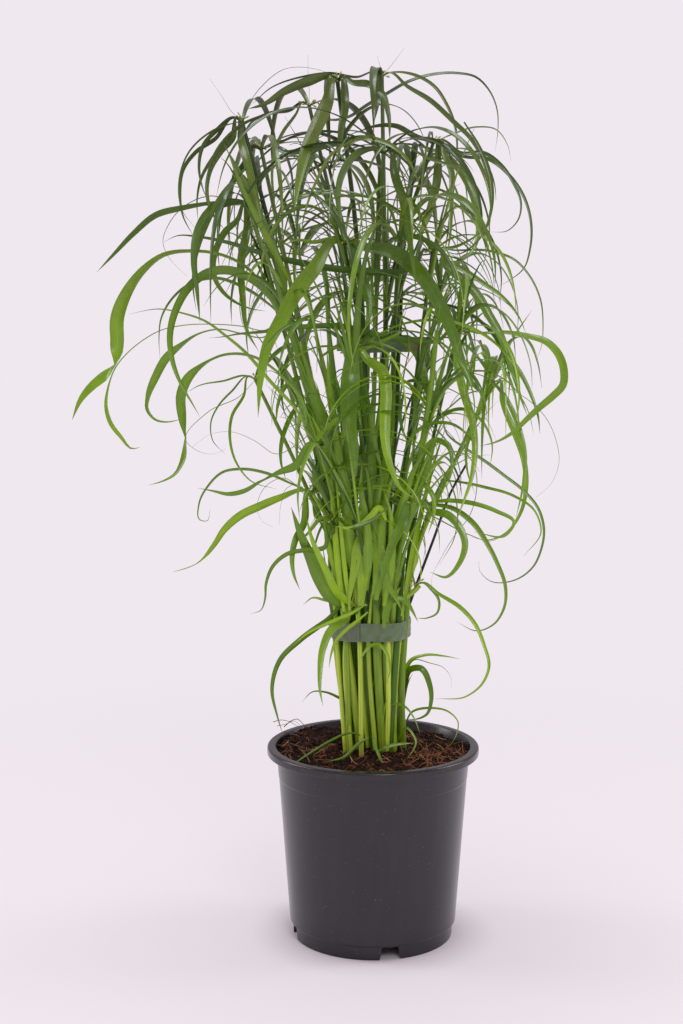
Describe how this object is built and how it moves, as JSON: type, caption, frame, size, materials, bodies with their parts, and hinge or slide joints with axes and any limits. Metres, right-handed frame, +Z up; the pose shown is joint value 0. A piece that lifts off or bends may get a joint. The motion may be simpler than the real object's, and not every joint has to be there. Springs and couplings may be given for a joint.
{
  "type": "potted umbrella sedge",
  "caption": "Umbrella sedge in a round dark nursery pot: a sheaf of tall culms tied with two tapes, each ending in a crown of long arching bracts.",
  "frame": {"origin": "middle of the whole plant's bounding box in plan, at the level of the pot's foot", "axes": "+Z up, -Y towards the viewer of the picture, +X to the viewer's right"},
  "size_m": [0.4171, 0.3739, 0.7679],
  "materials": {
    "moulded_plastic": "satin",
    "peat_soil": "matte",
    "woven_tape": "matte",
    "green_culm": "satin",
    "green_bract": "satin"
  },
  "bodies": {
    "root": {"pot": "moulded_plastic", "soil": "peat_soil", "tie_lower": "woven_tape", "tie_upper": "woven_tape", "culm_01": "green_culm", "culm_02": "green_culm", "culm_03": "green_culm", "culm_04": "green_culm", "culm_05": "green_culm", "culm_06": "green_culm", "culm_07": "green_culm", "culm_08": "green_culm", "culm_09": "green_culm", "culm_10": "green_culm", "culm_11": "green_culm", "culm_12": "green_culm", "culm_13": "green_culm", "culm_14": "green_culm", "culm_15": "green_culm", "culm_16": "green_culm", "culm_17": "green_culm", "culm_18": "green_culm", "culm_19": "green_culm", "culm_20": "green_culm", "culm_21": "green_culm", "culm_22": "green_culm", "culm_23": "green_culm", "culm_24": "green_culm", "culm_25": "green_culm", "culm_26": "green_culm", "culm_27": "green_culm", "culm_28": "green_culm", "bracts_01": "green_bract", "bracts_02": "green_bract", "bracts_03": "green_bract", "bracts_04": "green_bract", "bracts_05": "green_bract", "bracts_06": "green_bract", "bracts_07": "green_bract", "bracts_08": "green_bract", "bracts_09": "green_bract", "bracts_10": "green_bract", "bracts_11": "green_bract", "bracts_12": "green_bract", "bracts_13": "green_bract", "bracts_14": "green_bract", "bracts_15": "green_bract", "bracts_16": "green_bract", "bracts_17": "green_bract", "bracts_18": "green_bract", "bracts_19": "green_bract", "bracts_20": "green_bract", "bracts_21": "green_bract", "bracts_22": "green_bract", "bracts_23": "green_bract", "bracts_24": "green_bract", "bracts_25": "green_bract", "bracts_26": "green_bract", "bracts_27": "green_bract", "bracts_28": "green_bract"}
  },
  "joints": []
}
